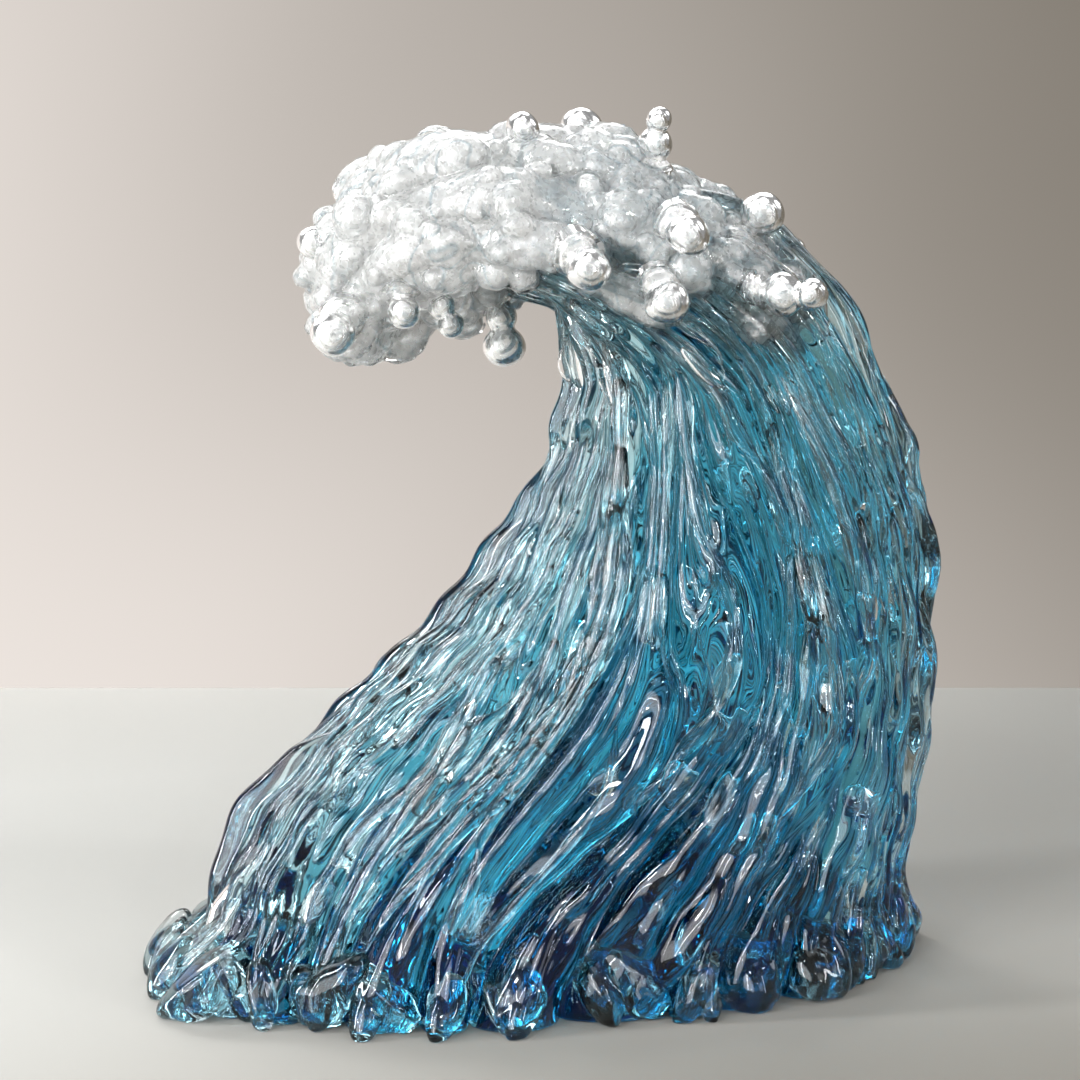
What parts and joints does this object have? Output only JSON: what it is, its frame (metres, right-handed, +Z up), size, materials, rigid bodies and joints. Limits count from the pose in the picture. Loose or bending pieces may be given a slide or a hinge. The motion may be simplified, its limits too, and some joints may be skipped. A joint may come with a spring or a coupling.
{
  "type": "glass wave sculpture",
  "caption": "Solid hot-worked glass sculpture of a breaking wave: blue trails flow up from a lobed foot and curl over into a clear, frosty crest with drops.",
  "frame": {"origin": "middle of the foot on the table: the centre of the mount named base", "axes": "+Z up, the wave breaks towards -X, and -Y is the side that the picture shows"},
  "size_m": [0.2621, 0.1608, 0.2972],
  "materials": {
    "core_glass": "polished, solid, deep blue",
    "light_blue_glass": "polished, drawn into ridges, pale blue",
    "mid_blue_glass": "polished, drawn into ridges, mid blue",
    "deep_blue_glass": "polished, drawn into ridges, deep turquoise blue",
    "frosty_glass": "frosty white with fine bubbles and folds",
    "clear_glass": "polished, clear"
  },
  "bodies": {
    "root": {"core_gather": "core_glass", "crest_hood": "clear_glass", "blue_trail_01": "light_blue_glass", "blue_trail_02": "mid_blue_glass", "blue_trail_03": "deep_blue_glass", "blue_trail_04": "light_blue_glass", "blue_trail_05": "mid_blue_glass", "blue_trail_06": "deep_blue_glass", "blue_trail_07": "light_blue_glass", "blue_trail_08": "mid_blue_glass", "blue_trail_09": "deep_blue_glass", "blue_trail_10": "light_blue_glass", "blue_trail_11": "mid_blue_glass", "blue_trail_12": "deep_blue_glass", "blue_trail_13": "light_blue_glass", "blue_trail_14": "mid_blue_glass", "blue_trail_15": "deep_blue_glass", "blue_trail_16": "light_blue_glass", "blue_trail_17": "mid_blue_glass", "blue_trail_18": "deep_blue_glass", "blue_trail_19": "light_blue_glass", "blue_trail_20": "mid_blue_glass", "blue_trail_21": "deep_blue_glass", "blue_trail_22": "light_blue_glass", "blue_trail_23": "mid_blue_glass", "blue_trail_24": "deep_blue_glass", "blue_trail_25": "light_blue_glass", "blue_trail_26": "mid_blue_glass", "blue_trail_27": "deep_blue_glass", "blue_trail_28": "light_blue_glass", "foam_trail_01": "frosty_glass", "foam_trail_02": "frosty_glass", "foam_trail_03": "frosty_glass", "foam_trail_04": "frosty_glass", "foam_trail_05": "frosty_glass", "foam_trail_06": "frosty_glass", "foam_trail_07": "frosty_glass", "foam_trail_08": "frosty_glass", "foam_trail_09": "frosty_glass", "foam_trail_10": "frosty_glass", "foam_trail_11": "frosty_glass", "foam_trail_12": "frosty_glass", "foam_trail_13": "frosty_glass", "foam_trail_14": "frosty_glass", "crown_drop": "clear_glass", "crown_bead": "clear_glass", "brow_drop": "clear_glass", "front_drop": "clear_glass", "shoulder_drop": "clear_glass", "back_drop": "clear_glass", "back_tail": "clear_glass", "side_coil": "clear_glass", "side_drop": "clear_glass", "side_finger": "clear_glass", "lip_lobe": "clear_glass", "lip_finger": "clear_glass", "hollow_lobe": "clear_glass", "hollow_drop": "clear_glass", "far_lobe": "clear_glass"}
  },
  "joints": []
}
